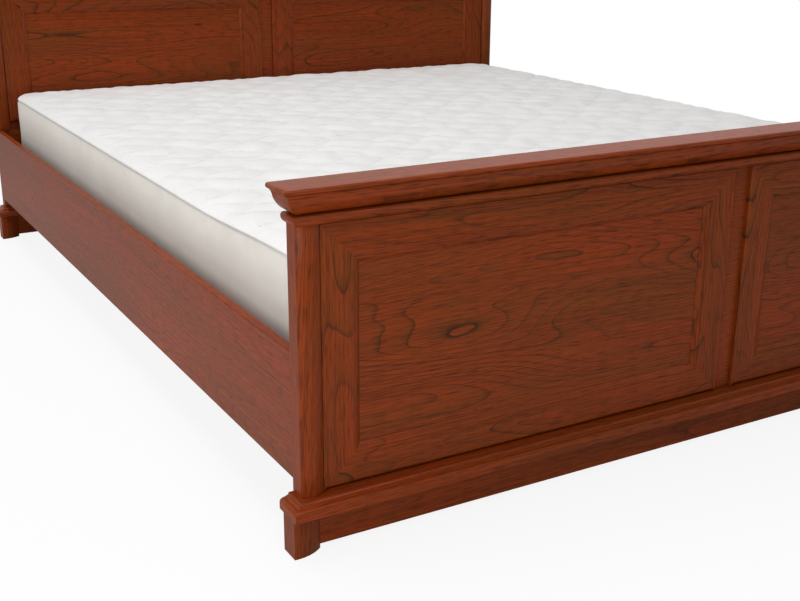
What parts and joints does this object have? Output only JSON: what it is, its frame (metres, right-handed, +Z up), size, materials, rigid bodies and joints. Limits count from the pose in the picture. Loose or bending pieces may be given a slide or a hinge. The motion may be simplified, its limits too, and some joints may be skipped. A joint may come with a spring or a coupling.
{
  "type": "panel bed",
  "caption": "Double bed with framed-panel foot and head boards, moulded bases, cornices, side rails, a slatted base and a loose mattress.",
  "frame": {"origin": "on the floor under the middle of the bed", "axes": "+X across the bed to the right as seen from the foot end, +Y from the foot end to the head end, +Z up"},
  "size_m": [1.7664, 2.1136, 0.779],
  "materials": {
    "stained_wood": "satin, reddish brown stain with dark open grain",
    "bare_wood": "planed, unfinished",
    "steel": "zinc plated",
    "glide_plastic": "moulded",
    "slat_tape": "woven tape",
    "mattress_cover": "quilted knit"
  },
  "bodies": {
    "frame": {"beam_hangers": "steel", "bolts": "steel", "dowels": "bare_wood", "foot_backing_board": "stained_wood", "foot_base_front": "stained_wood", "foot_base_returns": "stained_wood", "foot_bullnose_front": "stained_wood", "foot_bullnose_returns": "stained_wood", "foot_centre_strip": "stained_wood", "foot_cornice_front": "stained_wood", "foot_cornice_returns": "stained_wood", "foot_feet": "stained_wood", "foot_leaf_left_bottom_rail": "stained_wood", "foot_leaf_left_panel": "stained_wood", "foot_leaf_left_stiles": "stained_wood", "foot_leaf_left_top_rail": "stained_wood", "foot_leaf_right_bottom_rail": "stained_wood", "foot_leaf_right_panel": "stained_wood", "foot_leaf_right_stiles": "stained_wood", "foot_leaf_right_top_rail": "stained_wood", "foot_plinth_board": "stained_wood", "foot_post_left": "stained_wood", "foot_post_right": "stained_wood", "foot_top_board": "stained_wood", "glides": "glide_plastic", "head_backing_board": "stained_wood", "head_base_front": "stained_wood", "head_base_returns": "stained_wood", "head_bullnose_front": "stained_wood", "head_bullnose_returns": "stained_wood", "head_centre_strip": "stained_wood", "head_cornice_front": "stained_wood", "head_cornice_returns": "stained_wood", "head_feet": "stained_wood", "head_leaf_left_bottom_rail": "stained_wood", "head_leaf_left_panel": "stained_wood", "head_leaf_left_stiles": "stained_wood", "head_leaf_left_top_rail": "stained_wood", "head_leaf_right_bottom_rail": "stained_wood", "head_leaf_right_panel": "stained_wood", "head_leaf_right_stiles": "stained_wood", "head_leaf_right_top_rail": "stained_wood", "head_low_board": "stained_wood", "head_plinth_board": "stained_wood", "head_post_left": "stained_wood", "head_post_right": "stained_wood", "head_top_board": "stained_wood", "middle_beam": "bare_wood", "middle_legs": "bare_wood", "rail_corner_angles": "steel", "side_rail_left": "stained_wood", "side_rail_right": "stained_wood", "slat_cleats": "bare_wood", "slat_tapes": "slat_tape", "slats_left": "bare_wood", "slats_right": "bare_wood", "wood_screws": "steel"},
    "mattress": {"mattress": "mattress_cover"}
  },
  "joints": [
    {"name": "mattress_lift", "type": "slide", "parent": "frame", "child": "mattress", "axis": [0, 0, 1], "range_m": [0, 0.28]}
  ]
}
